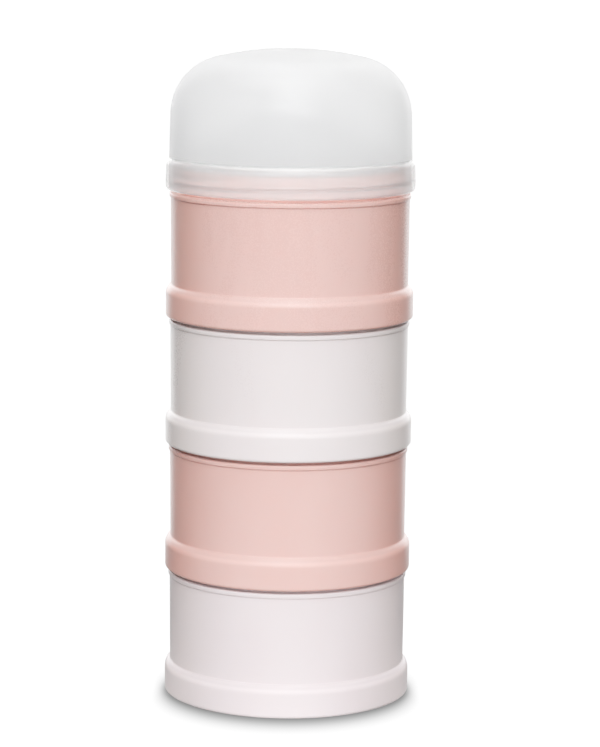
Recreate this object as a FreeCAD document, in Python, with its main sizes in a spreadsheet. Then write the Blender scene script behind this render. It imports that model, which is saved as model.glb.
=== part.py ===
import FreeCAD, Part
import math
import os
import Sketcher
from FreeCAD import Vector, Placement, Rotation

# Stacked formula dispenser: four identical screw-together powder cups, a lift-out
# pouring funnel and a frosted dome lid.  Origin: centre of the base ring, +Z up.
# Every piece is a half section turned about Z, modelled with its own bottom edge at
# z = 0 and then lifted to its place in the stack.

CUP_COUNT = 4

# ---- driving dimensions: millimetres, angles in degrees --------------------------

SIZES = [
    # stack
    ("module_pitch", 41.2),       # height of one cup from skirt bottom to next skirt bottom
    ("slot_gap", 1.0),            # open slot between a cup's bead and the skirt above
    # skirt of a cup
    ("skirt_radius", 40.0),
    ("skirt_bore", 38.25),        # thread root inside the skirt
    ("skirt_top", 7.5),           # where the skirt starts to curve in
    ("shoulder_round", 3.6),
    ("skirt_edge_round", 0.9),
    ("skirt_lead_in", 0.3),
    # body of a cup
    ("foot_radius", 38.3),        # body just above the shoulder
    ("brow_radius", 38.5),        # body just below the bead
    ("foot_round", 0.7),
    ("bead_radius", 38.9),
    ("bead_tall", 1.5),
    ("bead_round", 0.5),
    ("groove_radius", 38.25),
    ("groove_tall", 0.3),
    # neck
    ("neck_radius", 36.9),
    ("neck_bore", 35.4),
    ("neck_rise", 6.9),           # neck rim above the next skirt's bottom edge
    ("bore_foot", 3.0),           # straight part of the neck bore below the skirt edge
    ("bore_cone", 7.5),           # end of the cone from the neck bore to the chamber
    # chamber and floor
    ("chamber_top_radius", 36.8),
    ("chamber_foot_radius", 36.6),
    ("floor_under", 7.9),
    ("floor_top", 9.4),
    ("chamber_round", 3.0),
    # plug rib under the floor
    ("rib_inner", 34.0),
    ("rib_outer", 35.1),
    ("rib_tip", 4.9),
    ("gate_radius", 4.0),         # dimple left by the moulding gate
    ("gate_deep", 0.35),
    ("nub_radius", 0.9),
    ("nub_tall", 0.25),
    # seal ring of a cup
    ("seal_inner", 35.2),
    ("seal_outer", 38.15),
    ("seal_under", 6.95),
    ("seal_tall", 0.9),
    ("seal_edge", 0.15),
    # thread, right hand, single start
    ("thread_lead", 3.0),
    ("thread_neck_crest", 37.9),
    ("thread_skirt_crest", 37.25),
    ("thread_root_wide", 1.5),
    ("thread_crest_wide", 0.6),
    ("thread_sink", 0.3),         # how far the ridge's foot runs into the wall
    ("thread_fade", 30.0),        # degrees over which a ridge rises from the wall
    ("neck_thread_start", 0.65),  # ridge centre above the skirt edge
    ("neck_thread_angle", 250.0),  # where the ridge starts on every neck
    ("neck_thread_turns", 1.75),
    ("skirt_thread_start", 1.55),  # ridge centre above the skirt edge
    ("skirt_thread_turns", 1.35),
    ("thread_flank_gap", 1.05),   # mating ridge below the neck ridge, centre to centre
    # dome lid, heights above the collar's bottom edge
    ("collar_radius", 40.2),
    ("collar_top_radius", 40.0),
    ("collar_straight", 3.6),
    ("collar_top", 8.0),
    ("collar_edge_round", 1.3),
    ("dome_shoulder_round", 1.9),
    ("dome_foot_radius", 39.1),
    ("dome_foot_round", 0.6),
    ("dome_wall_radius", 38.75),
    ("dome_wall_top", 23.8),
    ("dome_corner_round", 19.0),
    ("dome_tall", 45.0),
    ("dome_thick", 1.3),
    ("stop_rib_under", 9.5),
    ("stop_rib_top", 10.7),
    ("stop_rib_inner", 35.7),
    # ring pressed by the dome on the funnel flange
    ("lid_seal_under", 8.4),
    ("lid_seal_tall", 1.05),
    ("lid_seal_inner", 35.8),
    ("lid_seal_outer", 37.6),
    # funnel, heights above the collar's bottom edge
    ("flange_radius", 37.0),      # passes inside the dome's thread ridge
    ("flange_under", 6.95),
    ("flange_top", 8.35),
    ("funnel_rib_tip", 3.9),
    ("cone_foot", 35.2),          # radius where the cone leaves the flange top
    ("cone_foot_rise", 0.45),     # inner wall's foot above the flange underside
    ("cone_mid", 27.0),
    ("cone_mid_high", 15.2),
    ("cone_mid_drop", 0.85),      # inner bend below the outer one
    ("cone_neck", 12.2),
    ("cone_neck_high", 24.7),
    ("cone_neck_drop", 0.35),     # inner bend below the outer one
    ("cone_neck_round", 2.0),
    ("spout_radius", 11.6),
    ("spout_top", 30.5),
    ("funnel_thick", 1.3),
    ("lip_round", 0.55),
]
VALUE = dict(SIZES)

doc = FreeCAD.newDocument("FormulaDispenser")
sheet = doc.addObject("Spreadsheet::Sheet", "Sizes")
for row, (alias, number) in enumerate(SIZES, start=1):
    sheet.set("A%d" % row, alias)
    sheet.set("B%d" % row, repr(number))
    sheet.setAlias("B%d" % row, alias)
doc.recompute()


class Size:
    """A length with the sheet expression that drives it."""

    def __init__(self, value, text):
        self.value = value
        self.text = text

    def __add__(self, other):
        other = size(other)
        return Size(self.value + other.value, "(%s + %s)" % (self.text, other.text))

    def __sub__(self, other):
        other = size(other)
        return Size(self.value - other.value, "(%s - %s)" % (self.text, other.text))

    def __mul__(self, other):
        other = size(other)
        return Size(self.value * other.value, "(%s * %s)" % (self.text, other.text))


def size(item):
    """Size from a sheet alias, a plain number or another Size."""
    if isinstance(item, Size):
        return item
    if isinstance(item, str):
        return Size(VALUE[item], "Sizes.%s" % item)
    return Size(float(item), repr(float(item)))


# ---- half sections ---------------------------------------------------------------

class Arc:
    """Arc from the vertex before to the vertex after, about a centre."""

    def __init__(self, centre_across, centre_up, clockwise=False, tangent=None,
                 settled=True):
        self.across = centre_across
        self.up = centre_up
        self.clockwise = clockwise
        self.tangent = tangent        # tangent to the segment "before" or "after" it
        self.settled = settled        # False leaves the centre's height to the solver


def pin(sketch, geometry, point, across, up):
    """Tie one sketch point to the sheet, across from the axis and up from the base."""
    for direction, axis_line, item in (("X", -2, across), ("Y", -1, up)):
        if item is None:
            continue
        item = size(item)
        if abs(item.value) < 1e-9:
            sketch.addConstraint(
                Sketcher.Constraint("PointOnObject", geometry, point, axis_line))
            continue
        index = sketch.addConstraint(Sketcher.Constraint(
            "Distance" + direction, -1, 1, geometry, point, item.value))
        sketch.setExpression("Constraints[%d]" % index, item.text)


def plane_of(body, role):
    for item in body.Origin.OriginFeatures:
        if item.Role == role:
            return item
    raise ValueError(role)


def starting_point(corner):
    """Drawn place of a corner; its guess fills in a coordinate given as None."""
    across, up = corner[:2]
    return (corner[2][0] if across is None else size(across).value,
            corner[2][1] if up is None else size(up).value)


def add_segment(sketch, start, end, arc):
    """Draw a line or an arc; returns its index, start point and end point numbers."""
    if arc is None:
        line = Part.LineSegment(Vector(start[0], start[1], 0), Vector(end[0], end[1], 0))
        return sketch.addGeometry(line, False), 1, 2
    x, y = size(arc.across).value, size(arc.up).value
    first = math.atan2(start[1] - y, start[0] - x)
    last = math.atan2(end[1] - y, end[0] - x)
    radius = math.hypot(start[0] - x, start[1] - y)
    if arc.clockwise:
        first, last = last, first
    while last < first:
        last += 2 * math.pi
    circle = Part.Circle(Vector(x, y, 0), Vector(0, 0, 1), radius)
    geometry = sketch.addGeometry(Part.ArcOfCircle(circle, first, last), False)
    return (geometry, 2, 1) if arc.clockwise else (geometry, 1, 2)


def profile(body, name, items):
    """Closed half section on the XZ plane.  Items are corners (across, up) or
    (across, up, guess), with an Arc between the two corners it joins."""
    sketch = body.newObject("Sketcher::SketchObject", name)
    sketch.AttachmentSupport = [(plane_of(body, "XZ_Plane"), "")]
    sketch.MapMode = "FlatFace"
    corners = []
    arcs = {}
    for item in items:
        if isinstance(item, Arc):
            arcs[len(corners) - 1] = item
        else:
            corners.append(item)
    count = len(corners)
    points = [starting_point(corner) for corner in corners]
    segments = [add_segment(sketch, points[i], points[(i + 1) % count], arcs.get(i))
                for i in range(count)]
    for i in range(count):
        after = (i + 1) % count
        tangent = ((after in arcs and arcs[after].tangent == "before")
                   or (i in arcs and arcs[i].tangent == "after"))
        sketch.addConstraint(Sketcher.Constraint(
            "Tangent" if tangent else "Coincident",
            segments[i][0], segments[i][2], segments[after][0], segments[after][1]))
    for segment, corner in zip(segments, corners):
        pin(sketch, segment[0], segment[1], corner[0], corner[1])
    for i, arc in arcs.items():
        pin(sketch, segments[i][0], 3, arc.across, arc.up if arc.settled else None)
    return sketch


# ---- body features ---------------------------------------------------------------

def turned(body, name, items):
    """Full revolution of a half section about the vertical axis."""
    sketch = profile(body, name + "Section", items)
    turn = body.newObject("PartDesign::Revolution", name)
    turn.Profile = sketch
    turn.ReferenceAxis = (sketch, ["V_Axis"])
    turn.Angle = 360.0
    doc.recompute()
    body.Tip = turn
    return turn


def edges_at(feature, places):
    """Names of the full circular edges at the given (radius, height) places."""
    names = []
    for place in places:
        radius, height = (size(item).value for item in place)
        found = None
        for index, edge in enumerate(feature.Shape.Edges, start=1):
            if edge.Degenerated or len(edge.Vertexes) != 1:
                continue
            curve = edge.Curve
            if not isinstance(curve, Part.Circle):
                continue
            if (abs(curve.Radius - radius) < 0.02
                    and abs(curve.Center.z - height) < 0.02):
                found = "Edge%d" % index
                break
        if found is None:
            raise ValueError("no edge at %.3f %.3f" % (radius, height))
        names.append(found)
    return names


def dressed(kind, length_property, body, base, name, places, length):
    """Fillet or chamfer circular edges, with its length bound to the sheet."""
    item = body.newObject(kind, name)
    item.Base = (base, edges_at(base, places))
    length = size(length)
    setattr(item, length_property, length.value)
    item.setExpression(length_property, length.text)
    doc.recompute()
    body.Tip = item
    return item


def rounded(*details):
    return dressed("PartDesign::Fillet", "Radius", *details)


def bevelled(*details):
    return dressed("PartDesign::Chamfer", "Size", *details)


def shoulder_end(centre, centre_up, radius, across):
    """Height at which a shoulder arc reaches the given distance from the axis."""
    run = VALUE[across] - centre.value
    return VALUE[centre_up] + math.sqrt(VALUE[radius] ** 2 - run ** 2)


# ---- threads ---------------------------------------------------------------------

FADE_STEPS = 6        # curve points along each fading end
STEPS_PER_TURN = 18   # curve points per turn between the ends


def ridge(root, crest, start_height, start_angle, turns, inward):
    """One right-hand helical ridge that rises from and sinks back into its wall.
    Four helical edges, ruled faces between them and a flat face at each end."""
    sink = VALUE["thread_sink"]
    lead = VALUE["thread_lead"]
    fade = VALUE["thread_fade"]
    root_wide = VALUE["thread_root_wide"]
    crest_wide = VALUE["thread_crest_wide"]
    side = -1.0 if inward else 1.0
    tall = abs(crest - root)
    total = turns * 360.0
    # the flank keeps its slope down to the foot, so the width at the wall is the sheet's
    foot_half = (root_wide + (root_wide - crest_wide) / tall * sink) / 2.0
    tip_half = crest_wide / 2.0
    middle = max(8, int(math.ceil(turns * STEPS_PER_TURN)))
    angles = [fade * i / FADE_STEPS for i in range(FADE_STEPS)]
    angles += [fade + (total - 2.0 * fade) * i / middle for i in range(middle + 1)]
    angles += [total - fade + fade * i / FADE_STEPS for i in range(1, FADE_STEPS + 1)]
    edges = []
    for at_foot, rise in ((True, -foot_half), (True, foot_half),
                          (False, tip_half), (False, -tip_half)):
        points = []
        for angle in angles:
            # smooth step from 0 at either end to 1 past the fade
            share = min(1.0, min(angle, total - angle) / fade)
            share = share * share * (3.0 - 2.0 * share)
            if at_foot:
                radius = root - side * sink
            else:
                radius = root + side * (tall * share - 0.5 * sink * (1.0 - share))
            turn = math.radians(start_angle + angle)
            points.append(Vector(radius * math.cos(turn), radius * math.sin(turn),
                                 start_height + lead * angle / 360.0 + rise))
        curve = Part.BSplineCurve()
        curve.interpolate(points)
        edges.append(curve.toShape())
    faces = [Part.makeRuledSurface(edges[i], edges[(i + 1) % 4]) for i in range(4)]
    for end in (0, -1):
        corners = [edge.Vertexes[end].Point for edge in edges]
        faces.append(Part.Face(Part.makePolygon(corners + [corners[0]])))
    shell = Part.makeShell(faces)
    shell.sewShape()
    # sewing may wrap the shell in a compound
    solid = Part.Solid(shell if shell.ShapeType == "Shell" else shell.Shells[0])
    if solid.Volume < 0:
        solid.reverse()
    return solid


def neck_ridge():
    """Ridge on the outside of a cup's neck."""
    start = VALUE["module_pitch"] + VALUE["neck_thread_start"]
    return ridge(VALUE["neck_radius"], VALUE["thread_neck_crest"], start,
                 VALUE["neck_thread_angle"], VALUE["neck_thread_turns"], inward=False)


def skirt_ridge():
    """Ridge inside a skirt or collar, turned so that it hangs below the neck ridge."""
    lead = VALUE["thread_lead"]
    start = VALUE["skirt_thread_start"]
    # height of the mating helix at the neck ridge's starting angle
    mating = VALUE["neck_thread_start"] - VALUE["thread_flank_gap"] + lead
    angle = VALUE["neck_thread_angle"] + (start - mating) / lead * 360.0
    return ridge(VALUE["skirt_bore"], VALUE["thread_skirt_crest"], start, angle,
                 VALUE["skirt_thread_turns"], inward=True)


def thread(name, solid):
    feature = doc.addObject("Part::Feature", name)
    feature.Shape = solid
    return feature


# ---- pieces ----------------------------------------------------------------------

parts = []


def finish(piece, label, height):
    """Label a piece, place it at its height in the stack and list it for export."""
    piece.Label = label
    piece.Placement = Placement(Vector(0, 0, height.value), Rotation())
    if height.value > 0:
        piece.setExpression(".Placement.Base.z", height.text)
    parts.append(piece)


def fused(name, label, pieces, height):
    """Join a turned shell and its thread ridges into one piece."""
    whole = doc.addObject("Part::MultiFuse", name)
    whole.Shapes = pieces
    whole.Refine = True
    finish(whole, label, height)


def seal(name, label, prefix, height):
    """Flat ring with bevelled edges, sized by the aliases that start with prefix."""
    inner, outer, under = prefix + "_inner", prefix + "_outer", prefix + "_under"
    top = size(under) + (prefix + "_tall")
    body = doc.addObject("PartDesign::Body", name)
    ring = turned(body, name + "Turned", [
        (inner, under),
        (outer, under),
        (outer, top),
        (inner, top),
    ])
    bevelled(body, ring, name + "Edge",
             [(inner, under), (outer, under), (inner, top), (outer, top)], "seal_edge")
    finish(body, label, height)


def cup(number):
    """Powder cup: threaded skirt below, chamber above its floor, threaded neck on top."""
    name = "Cup%d" % number
    body = doc.addObject("PartDesign::Body", name + "Shell")
    pitch = size("module_pitch")
    top = pitch - "slot_gap"
    bead_low = top - "bead_tall"
    groove_low = bead_low - "groove_tall"
    rim = pitch + "neck_rise"
    dimple = size("floor_under") + "gate_deep"
    nub_tip = dimple - "nub_tall"
    shoulder = size("skirt_radius") - "shoulder_round"
    foot_high = shoulder_end(shoulder, "skirt_top", "shoulder_round", "foot_radius")
    last = turned(body, name + "Turned", [
        # outside, upwards
        ("skirt_bore", 0),
        ("skirt_radius", 0),
        ("skirt_radius", "skirt_top"),
        Arc(shoulder, "skirt_top"),
        ("foot_radius", None, (0, foot_high)),
        ("brow_radius", groove_low),
        ("groove_radius", groove_low),
        ("groove_radius", bead_low),
        ("bead_radius", bead_low),
        ("bead_radius", top),
        ("neck_radius", top),
        ("neck_radius", rim),
        # neck bore and chamber, downwards
        ("neck_bore", rim),
        ("neck_bore", pitch - "bore_foot"),
        ("chamber_top_radius", pitch - "bore_cone"),
        ("chamber_foot_radius", "floor_top"),
        (0, "floor_top"),
        # underside of the floor, outwards
        (0, nub_tip),
        ("nub_radius", nub_tip),
        ("nub_radius", dimple),
        ("gate_radius", dimple),
        ("gate_radius", "floor_under"),
        ("rib_inner", "floor_under"),
        ("rib_inner", "rib_tip"),
        ("rib_outer", "rib_tip"),
        ("rib_outer", "floor_under"),
        ("skirt_bore", "floor_under"),
    ])
    for suffix, place, radius in (
            ("ChamberRound", ("chamber_foot_radius", "floor_top"), "chamber_round"),
            ("EdgeRound", ("skirt_radius", 0), "skirt_edge_round"),
            ("FootRound", ("foot_radius", foot_high), "foot_round"),
            ("BeadRound", ("bead_radius", top), "bead_round")):
        last = rounded(body, last, name + suffix, [place], radius)
    bevelled(body, last, name + "LeadIn",
             [("skirt_bore", 0), ("neck_radius", rim), ("neck_bore", rim),
              ("rib_inner", "rib_tip"), ("rib_outer", "rib_tip")], "skirt_lead_in")
    label = "cup_%d" % number
    base = pitch * (number - 1)
    fused(name, label, [body, thread(name + "NeckThread", neck_ridge()),
                        thread(name + "SkirtThread", skirt_ridge())], base)
    seal(name + "Seal", label + "_seal", "seal", base)


def crown(top, across, up, corner):
    """Crown arc centred on the axis, through the apex at top, tangent to the corner
    arc of radius corner about (across, up): its centre height and the joining point."""
    drop = top - up
    radius = (across * across + drop * drop - corner * corner) / (2.0 * (drop - corner))
    centre = top - radius
    scale = radius / math.hypot(across, up - centre)
    return centre, (across * scale, centre + (up - centre) * scale)


def dome(base):
    """Dome lid: threaded collar, near-straight wall and a rounded crown."""
    body = doc.addObject("PartDesign::Body", "DomeShell")
    corner = size("dome_wall_radius") - "dome_corner_round"
    inner_apex = size("dome_tall") - "dome_thick"
    wall_top = VALUE["dome_wall_top"]
    corner_round = VALUE["dome_corner_round"]
    outer_centre, outer_join = crown(VALUE["dome_tall"], corner.value, wall_top,
                                     corner_round)
    inner_centre, inner_join = crown(inner_apex.value, corner.value, wall_top,
                                     corner_round - VALUE["dome_thick"])
    shoulder = size("collar_top_radius") - "dome_shoulder_round"
    foot_high = shoulder_end(shoulder, "collar_top", "dome_shoulder_round",
                             "dome_foot_radius")
    last = turned(body, "DomeTurned", [
        # outside, up to the apex
        ("skirt_bore", 0),
        ("collar_radius", 0),
        ("collar_radius", "collar_straight"),
        ("collar_top_radius", "collar_top"),
        Arc(shoulder, "collar_top"),
        ("dome_foot_radius", None, (0, foot_high)),
        ("dome_wall_radius", "dome_wall_top"),
        Arc(corner, "dome_wall_top"),
        (None, None, outer_join),
        Arc(0, outer_centre, tangent="before", settled=False),
        (0, "dome_tall"),
        # inside, back down to the collar
        (0, inner_apex),
        Arc(0, inner_centre, clockwise=True, tangent="after", settled=False),
        (None, None, inner_join),
        Arc(corner, "dome_wall_top", clockwise=True),
        (size("dome_wall_radius") - "dome_thick", "dome_wall_top"),
        (size("dome_foot_radius") - "dome_thick", "stop_rib_top"),
        ("stop_rib_inner", "stop_rib_top"),
        ("stop_rib_inner", "stop_rib_under"),
        ("skirt_bore", "stop_rib_under"),
    ])
    last = rounded(body, last, "DomeEdgeRound", [("collar_radius", 0)],
                   "collar_edge_round")
    last = rounded(body, last, "DomeFootRound", [("dome_foot_radius", foot_high)],
                   "dome_foot_round")
    bevelled(body, last, "DomeLeadIn",
             [("skirt_bore", 0), ("stop_rib_inner", "stop_rib_top"),
              ("stop_rib_inner", "stop_rib_under")], "skirt_lead_in")
    fused("Dome", "dome_lid", [body, thread("DomeThread", skirt_ridge())], base)
    seal("DomeSeal", "dome_seal", "lid_seal", base)


def funnel(base):
    """Pouring funnel: plug rib and flange below, cone narrowing up to the spout."""
    body = doc.addObject("PartDesign::Body", "Funnel")
    spout_bore = size("spout_radius") - "funnel_thick"
    inner_neck = (size("cone_neck") - "funnel_thick",
                  size("cone_neck_high") - "cone_neck_drop")
    last = turned(body, "FunnelTurned", [
        # outside, upwards
        ("rib_inner", "funnel_rib_tip"),
        ("rib_outer", "funnel_rib_tip"),
        ("rib_outer", "flange_under"),
        ("flange_radius", "flange_under"),
        ("flange_radius", "flange_top"),
        ("cone_foot", "flange_top"),
        ("cone_mid", "cone_mid_high"),
        ("cone_neck", "cone_neck_high"),
        ("spout_radius", "spout_top"),
        # inside, downwards
        (spout_bore, "spout_top"),
        inner_neck,
        (size("cone_mid") - "funnel_thick", size("cone_mid_high") - "cone_mid_drop"),
        ("rib_inner", size("flange_under") + "cone_foot_rise"),
    ])
    last = rounded(body, last, "FunnelLipRound",
                   [("spout_radius", "spout_top"), (spout_bore, "spout_top")],
                   "lip_round")
    last = bevelled(body, last, "FunnelFlangeEdge",
                    [("flange_radius", "flange_under"), ("flange_radius", "flange_top"),
                     ("rib_inner", "funnel_rib_tip"), ("rib_outer", "funnel_rib_tip")],
                    "skirt_lead_in")
    rounded(body, last, "FunnelBendRound",
            [("cone_neck", "cone_neck_high"), inner_neck], "cone_neck_round")
    finish(body, "pour_funnel", base)


for number in range(1, CUP_COUNT + 1):
    cup(number)
lid_base = size("module_pitch") * CUP_COUNT
dome(lid_base)
funnel(lid_base)
doc.recompute()

# ---- check and export ------------------------------------------------------------

for item in doc.Objects:
    if "Invalid" in item.State or "Error" in item.State:
        raise RuntimeError("%s %s" % (item.Name, item.State))
for piece in parts:
    shape = piece.Shape
    if shape.isNull() or not shape.isValid() or len(shape.Solids) != 1:
        raise RuntimeError("bad shape %s solids %d" % (piece.Label, len(shape.Solids)))

os.makedirs("parts", exist_ok=True)
for piece in parts:
    piece.Shape.exportStep("parts/%s.step" % piece.Label)
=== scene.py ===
# Four cups screwed into one upright stack, closed by a frosted dome lid with a funnel inside.
# The stack's axis is Z and the camera looks along +Y. Sections are (radius, height) points
# in mm, with heights counted from the bottom of their own piece.
import math

import bpy
import bmesh
from mathutils import Matrix, Vector


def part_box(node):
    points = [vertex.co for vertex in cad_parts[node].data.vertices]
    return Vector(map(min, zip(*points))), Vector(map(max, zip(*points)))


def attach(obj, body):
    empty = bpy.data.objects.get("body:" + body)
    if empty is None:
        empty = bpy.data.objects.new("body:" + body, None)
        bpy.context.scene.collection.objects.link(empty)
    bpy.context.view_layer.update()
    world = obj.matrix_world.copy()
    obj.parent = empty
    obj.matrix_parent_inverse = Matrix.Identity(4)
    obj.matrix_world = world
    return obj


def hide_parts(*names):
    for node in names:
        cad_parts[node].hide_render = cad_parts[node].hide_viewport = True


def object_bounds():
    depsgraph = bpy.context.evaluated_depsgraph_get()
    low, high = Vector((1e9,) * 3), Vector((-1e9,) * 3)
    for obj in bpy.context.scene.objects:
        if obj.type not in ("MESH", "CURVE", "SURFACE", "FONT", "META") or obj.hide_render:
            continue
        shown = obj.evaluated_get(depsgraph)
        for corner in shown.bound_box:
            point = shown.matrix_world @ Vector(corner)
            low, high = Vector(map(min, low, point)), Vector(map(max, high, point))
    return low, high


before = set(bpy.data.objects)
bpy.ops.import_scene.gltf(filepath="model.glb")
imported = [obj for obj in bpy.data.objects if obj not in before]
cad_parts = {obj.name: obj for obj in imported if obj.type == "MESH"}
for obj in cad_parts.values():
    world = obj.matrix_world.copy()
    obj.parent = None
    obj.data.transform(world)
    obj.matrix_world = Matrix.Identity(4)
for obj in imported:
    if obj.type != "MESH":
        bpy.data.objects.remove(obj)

CAD_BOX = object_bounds()
MM = 0.001

# ---------------------------------------------------------------- sizes (mm)
PITCH = (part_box("cup_2")[0].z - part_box("cup_1")[0].z) / MM  # height one cup adds
LID_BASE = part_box("dome_lid")[0].z / MM

CUP_R = 40.0            # outside of the skirt and of the cup's shoulder
SHOULDER_R = 3.6        # rounding of the cup's shoulder
WALL_FOOT_R = 38.3      # cup wall just above the shoulder
SKIRT_BORE = 38.25      # threaded inside of every skirt
CUP_SEAT = 7.9          # ceiling inside the cup's skirt
LIP_IN, LIP_OUT, LIP_LOW = 34.0, 35.1, 4.9      # ring hanging from that ceiling
NECK_R, NECK_BORE = 36.9, 35.4
NECK_TOP = PITCH + 6.9
BODY_TOP = PITCH - 1.0
BAND_R = 38.9           # raised band round the top of the cup wall
BAND_LOW = BODY_TOP - 1.5
GROOVE_R = 38.42        # groove under the band
GROOVE_LOW = BAND_LOW - 0.3

DOME_R, DOME_TOP, DOME_WALL = 38.75, 45.0, 1.3
DOME_CORNER, DOME_CORNER_Z = 19.0, 23.8         # rounding between side and crown
LID_SEAT = 9.5          # ceiling inside the lid's skirt
COLLAR_R = 40.2
COLLAR_SHOULDER_R, COLLAR_SHOULDER_Z = 1.9, 8.0

SEAL_GAP = 0.05         # between a seal and the ceiling above it
SEAL_SIDE_GAP = 0.1     # between a cup seal and the walls beside it

THREAD_LEAD = 3.0       # climb per turn
THREAD_TALL = 0.985
THREAD_ROOT, THREAD_CREST = 1.5, 0.6            # ridge width at the wall and at its top
THREAD_FADE = 30.0      # degrees over which each end runs out
NECK_START_DEG, NECK_START_Z, NECK_TURNS = 250.0, 0.65, 1.75
NECK_THREAD_LIMIT = PITCH + 6.6                 # no relief on the rim above this
SKIRT_START_Z, SKIRT_TURNS = 1.55, 1.35
FLANK_GAP = 1.05        # skirt ridge below the neck ridge
# the skirt's thread is turned so that it runs between the turns of the neck's
SKIRT_MESH_Z = NECK_START_Z - FLANK_GAP + THREAD_LEAD
SKIRT_START_DEG = NECK_START_DEG + (SKIRT_START_Z - SKIRT_MESH_Z) / THREAD_LEAD * 360.0

ON_WALL = 0.02          # how near a point's radius must be to count as on a wall
THREAD_STEP = 0.11      # mesh step up a threaded wall
SUPPORT = 0.18          # distance of a support loop from the end of a straight run
AROUND, FUNNEL_AROUND, SEAL_AROUND = 288, 224, 192  # points round each revolved piece


# ---------------------------------------------------------------- section tools
def arc(centre_r, centre_z, radius, start, end, step):
    """Points of an arc, degrees, ends included."""
    count = max(2, int(math.ceil(abs(end - start) / step)))
    angles = [math.radians(start + (end - start) * i / count) for i in range(count + 1)]
    return [(centre_r + radius * math.cos(a), centre_z + radius * math.sin(a)) for a in angles]


def soften(corners, step):
    """Open run of (r, z, fillet) corners to points, each fillet sampled every step degrees."""
    points = []
    for i, (r, z, *rest) in enumerate(corners):
        fillet = rest[0] if rest else 0.0
        if fillet <= 0 or i == 0 or i == len(corners) - 1:
            points.append((r, z))
            continue
        corner = Vector((r, z))
        back = Vector(corners[i - 1][:2]) - corner
        ahead = Vector(corners[i + 1][:2]) - corner
        back_length, ahead_length = back.length, ahead.length
        back.normalize()
        ahead.normalize()
        angle = math.acos(max(-1.0, min(1.0, back.dot(ahead))))
        if angle > math.pi - 0.03:  # too straight to round
            points.append((r, z))
            continue
        cut = min(fillet / math.tan(angle / 2), back_length * 0.49, ahead_length * 0.49)
        fillet = cut * math.tan(angle / 2)
        centre = corner + (back + ahead).normalized() * (fillet / math.sin(angle / 2))
        first = corner + back * cut - centre
        last = corner + ahead * cut - centre
        sweep = math.pi - angle
        count = max(3, int(math.ceil(math.degrees(sweep) / step)))
        sign = 1.0 if (first.x * last.y - first.y * last.x) > 0 else -1.0
        for j in range(count + 1):
            turn = sign * sweep * j / count
            points.append((centre.x + first.x * math.cos(turn) - first.y * math.sin(turn),
                           centre.y + first.x * math.sin(turn) + first.y * math.cos(turn)))
    return points


def loop(corners, step):
    """Closed section from corners that all carry a fillet."""
    return soften([corners[-1]] + corners + [corners[0]], step)[1:-1]


def shoulder(centre_r, centre_z, radius, wall, fillet):
    """From a wall down through a concave fillet, then out over a convex arc to its side."""
    across = wall + fillet - centre_r
    rise = math.sqrt((radius + fillet) ** 2 - across ** 2)
    meet = math.degrees(math.atan2(rise, across))
    points = arc(centre_r, centre_z, radius, 0.0, meet, step=5.0)
    points += arc(wall + fillet, centre_z + rise, fillet, 180.0 + meet, 180.0, step=8.0)[1:]
    return points[::-1]


def refine(points, longest, threaded=()):
    """Split straight runs longer than longest; uprights at threaded radii are cut finely."""
    out = [points[0]]
    for p, q in zip(points, points[1:]):
        gap = math.hypot(q[0] - p[0], q[1] - p[1])
        if gap < 1e-6:
            continue
        upright = abs(p[0] - q[0]) < ON_WALL
        fine = upright and any(abs(p[0] - radius) < ON_WALL for radius in threaded)
        count = max(1, int(math.ceil(gap / (THREAD_STEP if fine else longest))))
        cuts = [i / count for i in range(1, count + 1)]
        # a support loop close to each end keeps the fillets crisp
        if gap > 1.2 and not fine:
            cuts = sorted(set([SUPPORT / gap, 1 - SUPPORT / gap] + cuts))
        for t in cuts:
            out.append((p[0] + (q[0] - p[0]) * t, p[1] + (q[1] - p[1]) * t))
    return out


# ---------------------------------------------------------------- threads
def smooth(x):
    x = max(0.0, min(1.0, x))
    return x * x * (3 - 2 * x)


def thread_height(angle, z, start_deg, start_z, turns):
    """Height of a single right-hand ridge above its wall at (angle, z)."""
    total = turns * 360.0
    along = (angle - start_deg) % 360.0
    best = 0.0
    while along <= total:
        off = abs(z - (start_z + THREAD_LEAD * along / 360.0))
        if off < THREAD_ROOT / 2:
            flank = min(1.0, (THREAD_ROOT / 2 - off) / ((THREAD_ROOT - THREAD_CREST) / 2))
            height = 0.35 * flank + 0.65 * smooth(flank)  # part straight, part rounded
            best = max(best, height * smooth(min(along, total - along) / THREAD_FADE))
        along += 360.0
    return best * THREAD_TALL


def skirt_relief(angle, r, z):
    """Thread standing inward from the skirt's bore."""
    if abs(r - SKIRT_BORE) < ON_WALL:
        return -thread_height(angle, z, SKIRT_START_DEG, SKIRT_START_Z, SKIRT_TURNS)
    return 0.0


def cup_relief(angle, r, z):
    """Thread standing outward from the neck, and the one in the skirt."""
    if abs(r - NECK_R) < ON_WALL and z < NECK_THREAD_LIMIT:
        return thread_height(angle, z, NECK_START_DEG, PITCH + NECK_START_Z, NECK_TURNS)
    return skirt_relief(angle, r, z)


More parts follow.
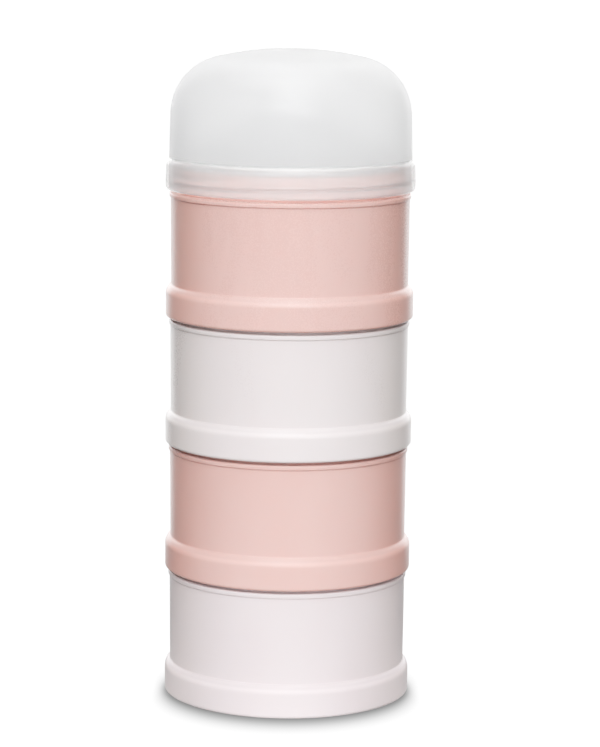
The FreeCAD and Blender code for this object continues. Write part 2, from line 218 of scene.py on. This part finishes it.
# ---------------------------------------------------------------- revolved mesh
def revolve(name, section, base, relief=None, around=AROUND, inner_from=None):
    """Closed shell of revolution from a closed section, standing at height base (mm).
    A point on the axis is a pole. relief(angle, r, z) moves r. Points from number
    inner_from on are marked as the inner wall."""
    bm = bmesh.new()
    rings = []
    for r, z in section:
        height = (z + base) * MM
        if r < 1e-6:
            rings.append([bm.verts.new((0, 0, height))])
            continue
        ring = []
        for i in range(around):
            angle = 360.0 * i / around
            radius = r + (relief(angle, r, z) if relief else 0.0)
            turn = math.radians(angle)
            ring.append(bm.verts.new((radius * math.cos(turn) * MM,
                                      radius * math.sin(turn) * MM, height)))
        rings.append(ring)
    for a, b in zip(rings, rings[1:] + rings[:1]):
        if len(a) == 1 and len(b) == 1:
            continue
        for j in range(around):
            k = (j + 1) % around
            if len(a) == 1:
                bm.faces.new((a[0], b[k], b[j]))
            elif len(b) == 1:
                bm.faces.new((a[j], a[k], b[0]))
            else:
                bm.faces.new((a[j], a[k], b[k], b[j]))
    bmesh.ops.recalc_face_normals(bm, faces=bm.faces)
    mesh = bpy.data.meshes.new(name)
    bm.to_mesh(mesh)
    bm.free()
    mesh.shade_smooth()
    if inner_from is not None:
        flags = []
        for i, ring in enumerate(rings):
            flags += [float(i >= inner_from)] * len(ring)
        mesh.attributes.new("inside", "FLOAT", "POINT").data.foreach_set("value", flags)
    obj = bpy.data.objects.new(name, mesh)
    bpy.context.scene.collection.objects.link(obj)
    return obj


# ---------------------------------------------------------------- sections
# Corner tables hold (radius, height, fillet).
def cup_section():
    # floor from the axis out, up the inside, over the neck, down the outer wall
    upper = soften([
        (0.0, 9.4), (36.6, 9.4, 3.0), (36.8, PITCH - 7.5, 1.5), (NECK_BORE, PITCH - 3.0, 1.5),
        (NECK_BORE, NECK_TOP, 0.4), (NECK_R, NECK_TOP, 0.4), (NECK_R, BODY_TOP, 0.25),
        (BAND_R, BODY_TOP, 0.5), (BAND_R, BAND_LOW, 0.22), (GROOVE_R, BAND_LOW, 0.14),
        (GROOVE_R, GROOVE_LOW, 0.06), (38.5, GROOVE_LOW, 0.1), (WALL_FOOT_R, 10.93)], step=9.0)
    foot = shoulder(CUP_R - SHOULDER_R, 7.5, SHOULDER_R, WALL_FOOT_R, fillet=0.7)
    # down the skirt, up its bore, round the lip and in to the axis under the floor
    under = soften([
        (CUP_R, 7.5), (CUP_R, 0.0, 0.9), (SKIRT_BORE, 0.0, 0.3), (SKIRT_BORE, CUP_SEAT, 0.25),
        (LIP_OUT, CUP_SEAT, 0.25), (LIP_OUT, LIP_LOW, 0.4), (LIP_IN, LIP_LOW, 0.4),
        (LIP_IN, CUP_SEAT, 0.5), (4.0, CUP_SEAT, 0.15), (4.0, 8.25, 0.15), (0.9, 8.25, 0.1),
        (0.9, 8.0, 0.1), (0.0, 8.0)], step=10.0)
    return upper[:-1] + foot + under[1:]


def dome_arcs(inset):
    """Crown from the axis out, then the corner down to the side, inset from the outside."""
    corner_r = DOME_R - DOME_CORNER
    corner = DOME_CORNER - inset
    top = DOME_TOP - inset
    drop = top - DOME_CORNER_Z
    crown = (corner_r ** 2 + drop * drop - corner * corner) / (2.0 * (drop - corner))
    base = top - crown
    meet = math.degrees(math.atan2(DOME_CORNER_Z - base, corner_r))
    return ((0.0, base, crown, 90.0, meet, 0.9),
            (corner_r, DOME_CORNER_Z, corner, meet, 0.0, 3.0))


def dome_section():
    crown, corner = dome_arcs(inset=0.0)
    outer = arc(*crown) + arc(*corner)[1:]
    outer += shoulder(CUP_R - COLLAR_SHOULDER_R, COLLAR_SHOULDER_Z, COLLAR_SHOULDER_R,
                      wall=39.1, fillet=0.6)
    collar = soften([
        (CUP_R, COLLAR_SHOULDER_Z), (COLLAR_R, 3.6, 8.0), (COLLAR_R, 0.0, 1.3),
        (SKIRT_BORE, 0.0, 0.3), (SKIRT_BORE, LID_SEAT, 0.25), (35.7, LID_SEAT, 0.3),
        (35.7, 10.7, 0.3), (37.8, 10.7, 0.4), (DOME_R - DOME_WALL, DOME_CORNER_Z)], step=9.0)
    crown, corner = dome_arcs(inset=DOME_WALL)
    # the inner face runs the other way, from the side up to the axis
    inner = arc(*corner[:3], 0.0, corner[3], corner[5])
    inner += arc(*crown[:3], crown[4], 90.0, crown[5])[1:]
    points = outer + collar[1:-1] + inner
    points[0] = (0.0, points[0][1])
    points[-1] = (0.0, points[-1][1])
    return points


def funnel_section():
    return loop([
        (34.0, 3.9, 0.4), (35.1, 3.9, 0.4), (35.1, 6.95, 0.2), (37.0, 6.95, 0.4),
        (37.0, 8.35, 0.4), (35.2, 8.35, 1.2), (27.0, 15.2, 6.0), (12.2, 24.7, 2.0),
        (11.6, 30.5, 0.55), (10.3, 30.5, 0.55), (10.9, 24.35, 2.0), (25.7, 14.35, 6.0),
        (34.0, 7.4, 1.0)], step=8.0)


def seal_section(inner, outer, low, high, fillet=0.2):
    return loop([(inner, low, fillet), (outer, low, fillet), (outer, high, fillet),
                 (inner, high, fillet)], step=22.0)


# ---------------------------------------------------------------- node helpers
class Nodes:
    """The node tree of a material or world, emptied and given its output."""

    def __init__(self, owner, output, coord):
        owner.use_nodes = True
        self.owner = owner
        self.tree = owner.node_tree
        self.tree.nodes.clear()
        self.out = self.node(output)
        self.coord = self.node("ShaderNodeTexCoord").outputs[coord]

    def node(self, kind, inputs=None, **props):
        """inputs maps socket names or numbers to values or to other sockets."""
        made = self.tree.nodes.new(kind)
        for key, value in props.items():
            setattr(made, key, value)
        for key, value in (inputs or {}).items():
            if isinstance(value, bpy.types.NodeSocket):
                self.tree.links.new(value, made.inputs[key])
            else:
                made.inputs[key].default_value = value
        return made

    def surface(self, shader):
        self.tree.links.new(shader, self.out.inputs["Surface"])
        return self.owner

    def shader(self, kind, inputs):
        return self.node(kind, inputs).outputs[0]

    def math(self, operation, *values):
        return self.node("ShaderNodeMath", dict(enumerate(values)),
                         operation=operation).outputs[0]

    def add(self, a, b):
        return self.math("ADD", a, b)

    def times(self, a, b):
        return self.math("MULTIPLY", a, b)

    def linear(self, value, slope, offset):
        return self.math("MULTIPLY_ADD", value, slope, offset)

    def stretch(self, vector, scale=(1, 1, 1), move=(0, 0, 0)):
        return self.node("ShaderNodeMapping", {"Vector": vector, "Scale": scale,
                                               "Location": move}).outputs["Vector"]

    def noise(self, scale, detail=2.0, rough=0.5, at=None, distort=0.0):
        return self.node("ShaderNodeTexNoise", {
            "Vector": self.coord if at is None else at, "Scale": scale, "Detail": detail,
            "Roughness": rough, "Distortion": distort}).outputs["Fac"]

    def ramp(self, value, span, to=(0.0, 1.0), kind="SMOOTHSTEP"):
        """Ease from to[0] to to[1] while value crosses span."""
        return self.node("ShaderNodeMapRange", {
            "Value": value, "From Min": span[0], "From Max": span[1],
            "To Min": to[0], "To Max": to[1]}, interpolation_type=kind).outputs["Result"]

    def band(self, value, rise, fall):
        """1 between rise and fall, easing to 0 across each."""
        return self.times(self.ramp(value, rise), self.ramp(value, fall, to=(1.0, 0.0)))

    def mix(self, amount, a, b):
        return self.node("ShaderNodeMix", {"Factor": amount, "A": a, "B": b},
                         data_type="RGBA", blend_type="MIX").outputs["Result"]

    def paint(self, colour, *layers):
        """Lay (amount, colour) layers over a colour, first one lowest."""
        for amount, over in layers:
            colour = self.mix(amount, colour, over)
        return colour

    def bumps(self, *layers):
        """Normal from (height, strength, distance in metres) layers, each on the last."""
        below = {}
        for height, strength, distance in layers:
            made = self.node("ShaderNodeBump", {"Height": height, "Strength": strength,
                                                "Distance": distance, **below})
            below = {"Normal": made.outputs["Normal"]}
        return below["Normal"]

    def shader_mix(self, amount, a, b):
        return self.shader("ShaderNodeMixShader", {0: amount, 1: a, 2: b})

    def vector(self, operation, *values):
        made = self.node("ShaderNodeVectorMath", dict(enumerate(values)), operation=operation)
        return made.outputs["Value" if operation in ("DOT_PRODUCT", "LENGTH") else "Vector"]

    def z_of(self, vector):
        return self.node("ShaderNodeSeparateXYZ", {0: vector}).outputs[2]

    def to_camera(self, vector):
        return self.node("ShaderNodeVectorTransform", {0: vector}, vector_type="VECTOR",
                         convert_from="WORLD", convert_to="CAMERA").outputs[0]

    def camera_level(self):
        """In camera space, the level direction away from the camera."""
        camera_up = self.to_camera((0.0, 0.0, 1.0))
        return self.vector("NORMALIZE",
                           self.vector("CROSS_PRODUCT", (1.0, 0.0, 0.0), camera_up))

    def turntable_azimuth(self, direction):
        """Degrees away from the direction of the camera, about the vertical: the studio
        stands still round the camera, and the object turns in front of it."""
        ahead = self.camera_level()
        seen = self.to_camera(direction)
        across = self.vector("DOT_PRODUCT", seen, (1.0, 0.0, 0.0))
        away = self.vector("DOT_PRODUCT", seen, ahead)
        turn = self.math("ARCTAN2", across, self.times(away, -1.0))
        return self.times(turn, DEGREES)


DEGREES = 57.29578      # per radian


def material(name):
    return Nodes(bpy.data.materials.new(name), "ShaderNodeOutputMaterial", "Object")


def srgb(*channels):
    """sRGB 0..255 to linear RGBA."""
    linear = [c / 12.92 if c <= 0.04045 else ((c + 0.055) / 1.055) ** 2.4
              for c in (channel / 255.0 for channel in channels)]
    return (*linear, 1.0)


def scuffs(m, at, scale, squeeze, marks, patch_scale, patches):
    """Faint scuffs drawn out round the wall, kept to patches of it."""
    lines = m.noise(scale, detail=4.0, rough=0.7, distort=0.3,
                    at=m.stretch(at, scale=(1.0, 1.0, squeeze)))
    return m.times(m.ramp(lines, marks), m.ramp(m.noise(patch_scale, at=at), patches))


# ---------------------------------------------------------------- materials
def moulded(name, tint, deep, light, painted_rim_tint, rough, radius, seed, scatter=0.18):
    """Satin injection-moulded polypropylene: fine spark-eroded grain, slow flow
    variation in gloss and colour, faint handling scuffs, edges polished by wear.
    Light and shade are also painted into the colour: lighter sharp edges, darker
    creases, a rim tint where the wall turns away and darker ledges that face up."""
    m = material(name)
    place = m.stretch(m.coord, move=(seed, seed * 0.7, seed * 1.3))
    # grain of the mould surface, about 0.15 mm and 0.5 mm
    fine_grain = m.noise(scale=7000, detail=3.0, rough=0.6, at=place)
    coarse_grain = m.noise(scale=2200, at=place)
    flow = m.noise(scale=42, detail=3.0, rough=0.55, distort=0.6,
                   at=m.stretch(place, scale=(1, 1, 0.45)))
    cloud = m.noise(scale=16, at=place)
    scuff = scuffs(m, place, scale=260, squeeze=6.5, marks=(0.60, 0.74),
                   patch_scale=30, patches=(0.48, 0.66))
    geometry = m.node("ShaderNodeNewGeometry").outputs
    edge_wear_and_highlight = m.ramp(geometry["Pointiness"], span=(0.505, 0.56))
    crease_shade = m.ramp(geometry["Pointiness"], span=(0.44, 0.495), to=(1.0, 0.0))
    facing = m.node("ShaderNodeLayerWeight", {"Blend": 0.5}).outputs["Facing"]
    ledge_shade = (0.80 * tint[0], 0.80 * tint[1], 0.80 * tint[2], 1)

    colour = m.paint(
        m.mix(m.ramp(flow, span=(0.3, 0.72)), deep, tint),
        (m.times(m.ramp(cloud, span=(0.35, 0.7)), 0.5), light),
        # painted light and shade: the colour shifts to the rim tint where the wall turns away,
        # standing in for coloured light from neighbouring cups and the floor
        (m.ramp(facing, span=(0.10, 0.60)), painted_rim_tint),
        # painted highlight: sharp outer edges are lightened towards the light tint
        (m.times(edge_wear_and_highlight, 0.35), light),
        # painted shade: creases and hollows are darkened towards the deep tint
        (m.times(crease_shade, 0.25), deep),
        (m.times(scuff, 0.10), light),
        # painted shade: ledges that face up are darkened towards 80% of the tint, standing in
        # for weaker light from above
        (m.ramp(m.z_of(geometry["Normal"]), span=(0.32, 0.62), to=(0.0, 0.75)), ledge_shade))

    roughness = m.add(m.ramp(flow, span=(0.25, 0.75), to=(rough - 0.035, rough + 0.035)),
                      m.ramp(coarse_grain, span=(0.3, 0.7), to=(-0.02, 0.02)))
    roughness = m.add(roughness, m.times(scuff, 0.07))              # scuffs are duller
    roughness = m.math("SUBTRACT", roughness, m.times(edge_wear_and_highlight, 0.05))  # worn edges glossier

    return m.surface(m.shader("ShaderNodeBsdfPrincipled", {
        # the polished skin of the moulding mirrors more where it is seen at a slant
        "Coat Weight": m.ramp(facing, span=(0.60, 0.85), to=(0.0, 0.6)),
        "Coat Roughness": 0.30,
        "Base Color": colour,
        "Roughness": roughness,
        "Normal": m.bumps((fine_grain, 0.16, 0.00003), (coarse_grain, 0.10, 0.00005),
                          (flow, 0.10, 0.00025), (scuff, 0.05, 0.00002)),
        "IOR": 1.49,
        "Subsurface Weight": scatter,
        "Subsurface Radius": radius,
        "Subsurface Scale": 0.0022}))


def frosted(name):
    """Frosted natural polypropylene: light goes through and is scattered, so what
    is close behind the wall shows and what is further back blurs away."""
    m = material(name)
    fine_grain = m.noise(scale=6000, detail=3.0, rough=0.6)
    coarse_grain = m.noise(scale=1700)
    flow = m.noise(scale=38, detail=3.0, rough=0.55, distort=0.5,
                   at=m.stretch(m.coord, scale=(1, 1, 0.4)))
    cloud = m.noise(scale=14)
    scuff = scuffs(m, m.coord, scale=240, squeeze=5.5, marks=(0.60, 0.75),
                   patch_scale=27, patches=(0.47, 0.66))
    normal = m.bumps((fine_grain, 0.22, 0.00003), (coarse_grain, 0.14, 0.00005),
                     (flow, 0.10, 0.00025))
    inner = m.node("ShaderNodeAttribute", attribute_name="inside").outputs["Fac"]
    # 1 over the thick collar, which sits close over the neck, 0 up the thin dome
    collar = m.ramp(m.z_of(m.coord), to=(1.0, 0.0),
                    span=((LID_BASE + 10.1) * MM, (LID_BASE + 10.5) * MM))
    # smoother on the inner wall and over the collar
    roughness = m.add(m.ramp(flow, span=(0.25, 0.75), to=(0.295, 0.345)),
                      m.times(scuff, 0.07))
    roughness = m.times(roughness, m.ramp(inner, span=(0.4, 0.6), to=(1.0, 0.42)))
    roughness = m.times(roughness, m.linear(collar, slope=-0.5, offset=1.0))
    body = m.mix(m.ramp(cloud, span=(0.3, 0.7)), (0.90, 0.90, 0.905, 1), (0.95, 0.95, 0.95, 1))

    clear = m.shader("ShaderNodeBsdfPrincipled", {
        "Base Color": (0.985, 0.985, 0.985, 1), "Roughness": roughness, "Normal": normal,
        "IOR": 1.30, "Transmission Weight": 1.0})
    milk = m.shader("ShaderNodeBsdfPrincipled", {
        "Base Color": body, "Roughness": roughness, "Normal": normal, "IOR": 1.49})
    through = m.shader("ShaderNodeBsdfTranslucent", {"Color": body, "Normal": normal})
    cloudy = m.shader_mix(m.linear(collar, slope=-0.66, offset=0.85), milk, through)
    haze = m.add(m.ramp(flow, span=(0.3, 0.7), to=(0.50, 0.55)), m.times(scuff, 0.08))
    haze = m.linear(collar, slope=-0.19, offset=haze)
    surface = m.shader_mix(haze, clear, cloudy)
    # a thin glossy skin on the outside only
    skin = m.shader("ShaderNodeBsdfAnisotropic", {
        "Roughness": m.times(roughness, 0.68), "Normal": normal})
    surface = m.shader_mix(m.ramp(inner, span=(0.4, 0.6), to=(0.035, 0.0)), surface, skin)
    # light that passes the thin wall on its way to what is inside
    thin = m.shader("ShaderNodeBsdfTransparent", {
        "Color": m.mix(collar, (0.80, 0.80, 0.80, 1), (0.91, 0.90, 0.90, 1))})
    shadow_ray = m.node("ShaderNodeLightPath").outputs["Is Shadow Ray"]
    pass_on = m.times(shadow_ray, m.linear(collar, slope=0.13, offset=0.85))
    return m.surface(m.shader_mix(pass_on, surface, thin))


def silicone(name):
    """Soft translucent off-white rubber with a little pale dust."""
    m = material(name)
    dust = m.noise(scale=5200, detail=3.0, rough=0.6)
    slow = m.noise(scale=60)
    colour = m.paint(
        m.mix(m.ramp(slow, span=(0.3, 0.7)), srgb(214, 214, 210), srgb(228, 228, 224)),
        (m.times(m.ramp(dust, span=(0.62, 0.72)), 0.2), srgb(245, 245, 242)))
    return m.surface(m.shader("ShaderNodeBsdfPrincipled", {
        "Base Color": colour,
        "Roughness": m.ramp(slow, span=(0.3, 0.7), to=(0.50, 0.60)),
        "Normal": m.bumps((dust, 0.18, 0.00003)),
        "IOR": 1.41,
        "Subsurface Weight": 0.5,
        "Subsurface Radius": (1, 1, 1),
        "Subsurface Scale": 0.002,
        "Sheen Weight": 0.1}))


# radius is how far red, green and blue scatter; the low variants are for the lower cups
PINK = moulded(
    "pink_plastic", tint=(0.87, 0.545, 0.50, 1), deep=(0.85, 0.515, 0.47, 1),
    light=(0.89, 0.585, 0.54, 1), painted_rim_tint=(0.865, 0.485, 0.42, 1), rough=0.29,
    radius=(1.0, 0.55, 0.45), seed=0.0)
PINK_LOW = moulded(
    "pink_plastic_low", tint=(0.86, 0.535, 0.49, 1), deep=(0.84, 0.505, 0.46, 1),
    light=(0.88, 0.575, 0.535, 1), painted_rim_tint=(0.85, 0.47, 0.41, 1), rough=0.35,
    radius=(1.0, 0.55, 0.45), seed=0.37)
WHITE = moulded(
    "white_plastic", tint=(0.88, 0.80, 0.805, 1), deep=(0.86, 0.775, 0.78, 1),
    light=(0.90, 0.835, 0.835, 1), painted_rim_tint=(0.89, 0.81, 0.785, 1), rough=0.31,
    radius=(1.0, 0.85, 0.8), seed=0.11)
WHITE_LOW = moulded(
    "white_plastic_low", tint=(0.87, 0.765, 0.785, 1), deep=(0.85, 0.74, 0.76, 1),
    light=(0.89, 0.80, 0.81, 1), painted_rim_tint=(0.885, 0.78, 0.775, 1), rough=0.46,
    radius=(1.0, 0.85, 0.8), seed=0.53)
FUNNEL = moulded(
    "funnel_plastic", tint=srgb(206, 207, 208), deep=srgb(200, 201, 202),
    light=srgb(213, 214, 215), painted_rim_tint=srgb(203, 204, 205), rough=0.40,
    radius=(1, 1, 1), seed=0.81, scatter=0.3)
FROST = frosted("frosted_plastic")
SEAL = silicone("silicone")


# ---------------------------------------------------------------- the object
def dress(obj, look, body, node):
    obj.data.materials.append(look)
    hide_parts(node)
    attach(obj, body)


def build_cups():
    shell = refine(cup_section(), longest=3.0, threaded=(NECK_R, SKIRT_BORE))
    ring = seal_section(LIP_OUT + SEAL_SIDE_GAP, SKIRT_BORE - SEAL_SIDE_GAP,
                        low=6.95, high=CUP_SEAT - SEAL_GAP)
    # node, body of the cup, body of its seal, material, slot
    for node, body, ring_body, look, slot in (
            ("cup_1", "base", "base", WHITE_LOW, "white_plastic"),
            ("cup_2", "cup_2", "cup_2_ring", PINK_LOW, "pink_plastic"),
            ("cup_3", "cup_3", "cup_3_ring", WHITE, "white_plastic"),
            ("cup_4", "cup_4", "cup_4_ring", PINK, "pink_plastic")):
        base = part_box(node)[0].z / MM
        cup = revolve(node + "_shell", shell, base, cup_relief)
        dress(cup, look, body, node)
        seal = revolve(node + "_ring", ring, base, around=SEAL_AROUND)
        dress(seal, SEAL, ring_body, node + "_seal")


def build_lid():
    shell = refine(dome_section(), longest=2.0, threaded=(SKIRT_BORE,))
    # the inner wall starts at the foot of the skirt's bore
    inner_from = next(i for i, (r, z) in enumerate(shell) if r < 38.3 and 0.3 < z < 9.0)
    dome = revolve("dome_shell", shell, LID_BASE, skirt_relief, inner_from=inner_from)
    dress(dome, FROST, "dome", "dome_lid")
    ring = seal_section(35.8, 37.6, low=8.4, high=LID_SEAT - SEAL_GAP)
    seal = revolve("dome_ring", ring, LID_BASE, around=SEAL_AROUND)
    dress(seal, SEAL, "dome_ring", "dome_seal")
    funnel = revolve("funnel_shell", refine(funnel_section(), longest=1.5), LID_BASE,
                     around=FUNNEL_AROUND)
    dress(funnel, FUNNEL, "funnel", "pour_funnel")


# ---------------------------------------------------------------- floor
def floor_light(m):
    """How the floor lights the object: the sweep behind the object and the paper in
    front of it throw light back at it, the flags at the sides keep it off."""
    side = m.math("ABSOLUTE", m.turntable_azimuth(m.coord))
    away = m.vector("LENGTH", m.coord)
    front = m.ramp(side, span=(6.0, 56.0), to=(0.62, 0.02))
    behind = m.times(m.ramp(side, span=(135.0, 152.0), to=(0.0, 1.4)),
                     m.ramp(away, span=(0.05, 0.30), to=(0.1, 1.0)))
    near = m.times(m.ramp(away, span=(0.045, 0.16), to=(0.42, 0.0)),
                   m.ramp(side, span=(20.0, 80.0), to=(0.25, 1.0)))
    dark = m.shader("ShaderNodeBsdfPrincipled", {
        "Roughness": 0.8, "Specular IOR Level": 0.1, "Base Color": (0.05, 0.05, 0.05, 1)})
    glow = m.shader("ShaderNodeEmission", {"Strength": m.add(m.add(front, behind), near)})
    return m.shader("ShaderNodeAddShader", {0: dark, 1: glow})


def foot_shade(m):
    """Soft shade round the foot that reaches a little towards the camera. It keeps about
    the same width in the view, so it is drawn out along the sight line."""
    foot = CUP_R * MM
    shift = 1.3 * MM    # towards the camera
    ahead = m.camera_level()
    place = m.to_camera(m.coord)
    across = m.vector("DOT_PRODUCT", place, (1.0, 0.0, 0.0))
    toward = m.times(m.vector("DOT_PRODUCT", place, ahead), -1.0)
    sight = m.node("ShaderNodeNewGeometry").outputs["Incoming"]
    steepness = m.math("ABSOLUTE", m.vector("DOT_PRODUCT", sight, (0.0, 0.0, 1.0)))
    squash = m.math("MAXIMUM", steepness, 0.05)
    toward = m.math("SUBTRACT", m.times(toward, squash), shift)
    half_depth = m.times(squash, foot)

    def length(a, b):
        return m.math("SQRT", m.add(m.times(a, a), m.times(b, b)))

    # place in the seen ellipse of the foot, and distance outside its outline
    u = m.math("DIVIDE", across, foot)
    v = m.math("DIVIDE", toward, half_depth)
    ring = length(u, v)
    slope = length(m.math("DIVIDE", u, foot), m.math("DIVIDE", v, half_depth))
    outside = m.math("DIVIDE", m.times(m.math("SUBTRACT", ring, 1.0), ring),
                     m.math("MAXIMUM", slope, 1.0))
    depth = m.ramp(outside, span=(-1.8 * MM, 6.0 * MM), to=(1.3, 0.0))
    return m.linear(m.math("POWER", depth, 1.6), slope=-0.53, offset=1.0)


def paper_floor():
    """Seen directly it is white paper with a soft contact shadow and a tight dark line
    where the foot touches; other rays meet the studio's light from below."""
    m = material("paper_floor")
    light = floor_light(m)
    contact = m.node("ShaderNodeAmbientOcclusion", {"Distance": 0.003}, samples=8)
    tight = m.ramp(contact.outputs["AO"], span=(0.35, 0.97), to=(0.86, 1.0),
                   kind="SMOOTHERSTEP")
    shade = m.times(tight, foot_shade(m))
    paper = m.linear(m.noise(scale=9.0, detail=3.0), slope=0.06, offset=1.58)
    seen = m.shader("ShaderNodeEmission", {"Strength": m.times(shade, paper)})
    camera_ray = m.node("ShaderNodeLightPath").outputs["Is Camera Ray"]
    return m.surface(m.shader_mix(camera_ray, light, seen))


def build_floor():
    bm = bmesh.new()
    bmesh.ops.create_grid(bm, x_segments=24, y_segments=24, size=6.0)
    mesh = bpy.data.meshes.new("floor")
    bm.to_mesh(mesh)
    bm.free()
    floor = bpy.data.objects.new("floor", mesh)
    floor.location.z = CAD_BOX[0].z - 0.00002   # just clear of the foot
    bpy.context.scene.collection.objects.link(floor)
    floor.data.materials.append(paper_floor())


# ---------------------------------------------------------------- studio light
def build_world():
    """Studio painted on the sky; angles are degrees of azimuth from the camera and of
    elevation."""
    world = bpy.data.worlds.new("studio")
    bpy.context.scene.world = world
    w = Nodes(world, "ShaderNodeOutputWorld", "Generated")
    side = w.math("ABSOLUTE", w.turntable_azimuth(w.coord))
    height = w.times(w.math("ARCSINE", w.z_of(w.coord)), DEGREES)

    # surround, dark at the sides
    total = w.ramp(side, span=(6.0, 56.0), to=(1.29, 0.02))
    backdrop = w.ramp(side, span=(135.0, 152.0))
    # long box over the camera
    key = w.times(w.ramp(side, span=(8.0, 56.0), to=(1.0, 0.0)),
                  w.band(height, rise=(11.0, 21.0), fall=(34.0, 48.0)))
    # its bright middle, a glint on the dome
    glint = w.times(w.ramp(side, span=(4.0, 34.0), to=(1.0, 0.0)),
                    w.band(height, rise=(40.0, 48.0), fall=(56.0, 64.0)))
    strips = w.times(w.band(side, rise=(66.0, 74.0), fall=(84.0, 92.0)),
                     w.band(height, rise=(-4.0, 6.0), fall=(50.0, 66.0)))
    rims = w.band(side, rise=(132.0, 146.0), fall=(166.0, 178.0))
    top = w.times(w.ramp(height, span=(46.0, 78.0)),
                  w.ramp(side, span=(50.0, 130.0), to=(1.0, 0.45)))
    for mask, strength in ((backdrop, 2.3), (key, 4.7), (glint, 4.2), (strips, 0.08),
                           (rims, 0.4), (top, 3.7)):
        total = w.add(total, w.times(mask, strength))

    white = (1.0, 1.0, 1.0, 1)
    studio = w.shader("ShaderNodeBackground", {"Strength": total, "Color": white})
    plain = w.shader("ShaderNodeBackground", {"Strength": 1.62, "Color": white})
    camera_ray = w.node("ShaderNodeLightPath").outputs["Is Camera Ray"]
    w.surface(w.shader_mix(camera_ray, studio, plain))


# ---------------------------------------------------------------- camera
CAMERA_DISTANCE, CAMERA_HEIGHT = 0.95190, 0.25514       # metres
CAMERA_DOWN, CAMERA_YAW, CAMERA_ROLL = 0.1568, -0.0038198637, 0.0098    # radians
SENSOR_WIDTH, LENS = 36.0, 142.9426506                  # mm


def build_camera():
    data = bpy.data.cameras.new("camera")
    camera = bpy.data.objects.new("camera", data)
    bpy.context.scene.collection.objects.link(camera)
    bpy.context.scene.camera = camera
    data.sensor_width = SENSOR_WIDTH
    data.lens = LENS
    data.clip_start = 0.01
    data.clip_end = 50.0
    forward = Vector((-math.sin(CAMERA_YAW) * math.cos(CAMERA_DOWN),
                      math.cos(CAMERA_YAW) * math.cos(CAMERA_DOWN), -math.sin(CAMERA_DOWN)))
    right = forward.cross(Vector((0, 0, 1))).normalized()
    up = right.cross(forward).normalized()
    cos_roll, sin_roll = math.cos(CAMERA_ROLL), math.sin(CAMERA_ROLL)
    turned = Matrix((right * cos_roll + up * sin_roll, up * cos_roll - right * sin_roll,
                     -forward)).transposed()
    place = Vector((0, -CAMERA_DISTANCE, CAMERA_HEIGHT))
    camera.matrix_world = Matrix.Translation(place) @ turned.to_4x4()


# ---------------------------------------------------------------- colour and light paths
WHITE_AT, SHOULDER = 1.5, 0.75  # scene value shown as white; share of it in 1 - exp(-x)
CURVE_STEPS = 12


def set_colour():
    """Standard view with a soft highlight shoulder."""
    view = bpy.context.scene.view_settings
    view.view_transform = "Standard"
    view.look = "None"
    view.use_curve_mapping = True
    mapping = view.curve_mapping
    mapping.white_level = (WHITE_AT, WHITE_AT, WHITE_AT)
    bend = -math.log(1 - SHOULDER)
    for i in range(1, CURVE_STEPS):
        x = i / CURVE_STEPS
        mapping.curves[3].points.new(x, (1 - math.exp(-bend * x)) / SHOULDER)
    mapping.update()


def set_light_paths():
    cycles = bpy.context.scene.cycles
    cycles.max_bounces = 14
    cycles.transmission_bounces = 10
    cycles.transparent_max_bounces = 12
    cycles.diffuse_bounces = 6
    cycles.glossy_bounces = 5


build_cups()
build_lid()
build_floor()
build_world()
build_camera()
set_colour()
set_light_paths()

bpy.context.view_layer.update()
